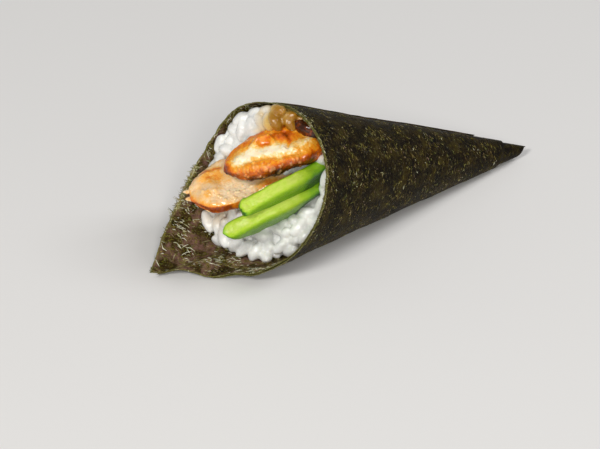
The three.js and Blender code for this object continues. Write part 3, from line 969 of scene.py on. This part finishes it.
def grain_shapes(middle, heading):
    """A bent, slightly dented ball for each grain."""
    rng = np.random.RandomState(5)
    work = bmesh.new()
    bmesh.ops.create_icosphere(work, subdivisions=3, radius=1)
    ball = np.array([v.co for v in work.verts])
    triangles = np.array([[v.index for v in f.verts] for f in work.faces])
    work.free()
    slim = 1 - 0.12 * np.abs(ball[:, 0]) ** 3
    points, faces = [], []
    for k, (place, along) in enumerate(zip(middle, heading)):
        side = unit(np.cross(along, rng.normal(size=3)))
        third = np.cross(along, side)
        length = (GRAIN_REACH + GRAIN_RADIUS) * rng.uniform(0.95, 1.12)
        width = GRAIN_RADIUS * rng.uniform(0.98, 1.2)
        bend = rng.uniform(0.1, 0.5)
        shape = (
            ball[:, :1] * length * along
            + (ball[:, 1:2] * width * slim[:, None] + bend * ball[:, :1] ** 2) * side
            + ball[:, 2:] * width * 0.88 * slim[:, None] * third
        )
        dents = 1 + 0.07 * noise_at(ball * 1.6 + 10 * k, 1)
        faces.append(triangles + len(points) * len(ball))
        points.append(place + shape * dents[:, None])
    return np.concatenate(points), np.concatenate(faces)


def joined(points, faces):
    """The outer skin of overlapping closed shapes, in small quads, and smoothed where they meet."""
    mesh = bpy.data.meshes.new("joining")
    mesh.from_pydata(points.tolist(), [], [list(f) for f in faces])
    thing = bpy.data.objects.new("joining", mesh)
    bpy.context.scene.collection.objects.link(thing)
    skin = thing.modifiers.new("skin", "REMESH")
    skin.mode = "VOXEL"
    skin.voxel_size = SKIN
    soft = thing.modifiers.new("soft", "SMOOTH")
    soft.factor = 0.5
    soft.iterations = 1
    result = thing.evaluated_get(bpy.context.evaluated_depsgraph_get()).to_mesh()
    flat = np.zeros(len(result.vertices) * 3, np.float32)
    result.vertices.foreach_get("co", flat)
    quads = np.array([tuple(p.vertices) for p in result.polygons if len(p.vertices) == 4])
    bpy.data.objects.remove(thing)
    bpy.data.meshes.remove(mesh)
    return flat.reshape(-1, 3).astype(float), quads


def rice_wall(s, psi, gap):
    """Points on the inside of the nori, and that far in from it."""
    return on_cone(s, psi, wall_radius(s, psi, stand_off(psi), stand_off_below(TURN)) - gap)


def rice_mass(first, last, rings, caps):
    """A closed block of rice that fills the cone, from share first to share last of its length."""
    around = 90
    psi = INNER_PSI - TURN * np.arange(around) / around
    end = np.full(around, 100.0)
    for _ in range(12):
        edge = rice_wall(end, psi, 1.2)
        end = end + (edge[:, 0] - (rice_face(edge[:, 1], edge[:, 2]) + RICE_BACK)) * 0.8
    shares = np.linspace(first, last, rings)
    loops = [rice_wall(RICE_START + (end - RICE_START) * share, psi, 0.8) for share in shares]
    rim = loops[-1]
    centre = rim.mean(0)
    for share in np.linspace(0.95, 0.02, caps):
        ring = centre + (rim - centre) * share
        ring[:, 0] = rice_face(ring[:, 1], ring[:, 2]) + RICE_BACK
        loops.append(ring)
    root = loops[0].mean(0)
    loops = [root + (loops[0] - root) * share for share in (0.02, 0.5)] + loops
    points = into_cavity(np.concatenate(loops), 0.25)
    return points, grid_faces(len(loops), around, True)


def build_rice(obstacles, material):
    """The grains that show, pressed into the mass behind them, and the core that fills the rest."""
    points, faces = grain_shapes(*packed_grains(obstacles))
    mass, quads = rice_mass(first=0.8, last=1, rings=8, caps=16)
    triangles = np.concatenate([quads[:, [0, 1, 2]], quads[:, [0, 2, 3]]])
    skin, faces = joined(
        np.concatenate([points, mass]), np.concatenate([faces, triangles + len(points)]),
    )
    skin = into_cavity(skin, 0.05)
    fine = 0.1 * noise_at(skin, 1.1, 6.1) + 0.12 * noise_at(skin, 2.6, 1.1)
    skin = skin + normals_of(skin, faces) * fine[:, None]
    make(
        "rice_grains", skin, faces, material, "rice",
        values={"own": 0.5 + 0.8 * noise_at(skin, 4.5, 3.3), "sauce": sauce_on(skin)},
    )
    mass, quads = rice_mass(first=0, last=0.84, rings=24, caps=8)
    make(
        "rice_core", mass, quads, material,
        values={"own": np.full(len(mass), 0.5), "sauce": np.zeros(len(mass))},
    )


# ---- Camera, floor and light ------------------------------------------------------------------
YAW = 36.874 * DEG
ELEVATION = 31.161 * DEG
PHOTO_WIDTH = 600
SENSOR = 36
FOCAL = 4276.6 / PHOTO_WIDTH * SENSOR  # from the focal length in pixels
LEVEL = math.cos(ELEVATION)
LOOK = np.array([LEVEL * math.sin(YAW), LEVEL * math.cos(YAW), -math.sin(ELEVATION)])
RIGHT = np.array([math.cos(YAW), -math.sin(YAW), 0])
UP = np.cross(RIGHT, LOOK)
CAMERA = -(74.11 * RIGHT + 24.55 * UP + 1387.1 * LOOK)  # from where the point of the cone is in its view
FLOOR_SIZE = 1500
ROLL = (-0.05, 0, 0.02)
LIGHTS = (  # place and aim in metres, size, watts and colour
    ("key", (-1.5, -0.6, 1.36), ROLL, (0.5, 0.5), 22.5, (1, 0.99, 0.97)),
    ("front", (-0.9, -1.5, 1.0), ROLL, (0.45, 0.45), 15, (1, 0.98, 0.95)),
    ("side", (1.24, -0.6, 1.28), (0.0, 0, 0.02), (0.6, 0.8), 12, (0.97, 0.97, 1)),
)
ROOM = ((0.98, 0.98, 1.0), 0.2)  # colour and strength


def add_camera():
    data = bpy.data.cameras.new("camera")
    data.lens = FOCAL
    data.sensor_width = SENSOR
    data.clip_start = 0.05
    camera = bpy.data.objects.new("camera", data)
    turn = Matrix([RIGHT, UP, -LOOK]).transposed()
    camera.matrix_world = Matrix.Translation(Vector((CAMERA + POINT) * MM)) @ turn.to_4x4()
    bpy.context.scene.collection.objects.link(camera)
    bpy.context.scene.camera = camera


def add_floor():
    m = Shader("floor")
    m.set(Base_Color=(0.8, 0.79, 0.77, 1), Roughness=0.6)
    corners = FLOOR_SIZE * np.array([[-1, -1, 0], [1, -1, 0], [1, 1, 0], [-1, 1, 0]], float)
    floor = make("floor", corners, [[0, 1, 2, 3]], m.material, ride=False)


def add_light(name, place, aim, size, power, colour):
    data = bpy.data.lights.new(name, "AREA")
    data.shape = "RECTANGLE"
    data.size, data.size_y = size
    data.energy = power
    data.color = colour
    light = bpy.data.objects.new(name, data)
    light.location = place
    light.rotation_euler = (Vector(aim) - Vector(place)).to_track_quat("-Z", "Y").to_euler()
    bpy.context.scene.collection.objects.link(light)


def add_world(colour, strength):
    world = bpy.data.worlds.new("studio")
    world.use_nodes = True
    background = world.node_tree.nodes["Background"]
    background.inputs["Color"].default_value = (*colour, 1)
    background.inputs["Strength"].default_value = strength
    bpy.context.scene.world = world


# ---- The scene --------------------------------------------------------------------------------
UPPER_STOPS = (
    (0.0, (0.97, 0.85, 0.6)),
    (0.18, (0.92, 0.62, 0.2)),
    (0.32, (0.86, 0.36, 0.02)),
    (0.5, (0.72, 0.16, 0.004)),
    (0.72, (0.34, 0.055, 0.002)),
    (1.0, (0.035, 0.009, 0.002)),
)
LOWER_STOPS = (
    (0.0, (0.95, 0.73, 0.47)),
    (0.22, (0.93, 0.6, 0.29)),
    (0.42, (0.92, 0.44, 0.07)),
    (0.62, (0.8, 0.2, 0.008)),
    (1.0, (0.26, 0.04, 0.003)),
)


def upper_glaze_and_shade(top):
    """Bright orange on the sides, paler above, and darker below, where painted shade is added to browner
    glaze.
    """
    return 0.56 - 0.14 * smooth((top - 0.3) / 0.5) + 0.42 * smooth(-top * 1.3)


# paler above, and darker below, where painted shade is added to browner glaze
def lower_glaze_and_shade(top):
    return 0.55 - 0.36 * smooth((top - 0.25) / 0.4) + 0.2 * smooth(-top)


# all but black: dark glaze with painted shade, for the piece that lies in shadow at the back of the mouth
def back_glaze_and_shade(top):
    return 0.98 + 0 * top


FILLINGS = ("avocado_low", "avocado_high", "chicken_high", "chicken_low", "chicken_back")
UPPER_SPINE = ((-116.8, 5.5, 30.5), (-108, 2.4, 33.2), (-97.5, -1.2, 35.4), (-86, -4.5, 36.5))
LOWER_SPINE = ((-124.2, 14, 18.2), (-112, 9.5, 22), (-98, 3, 26), (-78, 1, 22))
BACK_SPINE = ((-94.5, 0, 41.5), (-88, 0, 39), (-80, 0, 34), (-70, 0, 28))

obstacles = [
    BVHTree.FromPolygons(
        [v.co.copy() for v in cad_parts[node].data.vertices],
        [tuple(p.vertices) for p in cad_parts[node].data.polygons],
    )
    for node in FILLINGS
]

build_nori(nori_material("nori"))
build_fibres(fibre_material("nori_fibres"))
green = avocado_material("avocado")
build_avocado(
    "avocado_slice_low", AVOCADO_LOW, LOW_CUT_FACE,
    thickness=5.6, rough_end=0.1, material=green, node="avocado_low",
)
build_avocado(
    "avocado_slice_high", AVOCADO_HIGH, HIGH_CUT_FACE,
    thickness=5.2, rough_end=1.0, material=green, node="avocado_high",
)
upper = chicken_material("chicken_upper", UPPER_STOPS)
lower = chicken_material("chicken_lower", LOWER_STOPS)
build_chicken(
    "chicken_piece_high", UPPER_SPINE, profile(16.5, 0.5, 0.25), profile(7, 0.35, 0.25),
    upper, "chicken_high", 4.0, upper_glaze_and_shade, UPPER_FORMS, UPPER_TINTS, (UPPER_BLISTERS, UPPER_BLISTER_COUNT),
)
build_chicken(
    "chicken_piece_low", LOWER_SPINE, profile(22, 0.36, 0.3, narrowing=7), profile(6, 0.2, 0.3),
    lower, "chicken_low", 9.0, lower_glaze_and_shade, LOWER_FORMS, LOWER_TINTS, (LOWER_BLISTERS, LOWER_BLISTER_COUNT),
)
# the piece at the back is painted dark: glaze with painted shade
build_chicken(
    "chicken_piece_back", BACK_SPINE, profile(15, 0.2, 0.3), profile(7, 0.25, 0.3),
    upper, "chicken_back", 14.0, back_glaze_and_shade,
)
build_flakes(lower)
build_rice(obstacles, rice_material("rice"))

bpy.context.scene.view_settings.view_transform = "Standard"
add_camera()
add_floor()
for light in LIGHTS:
    add_light(*light)
add_world(*ROOM)
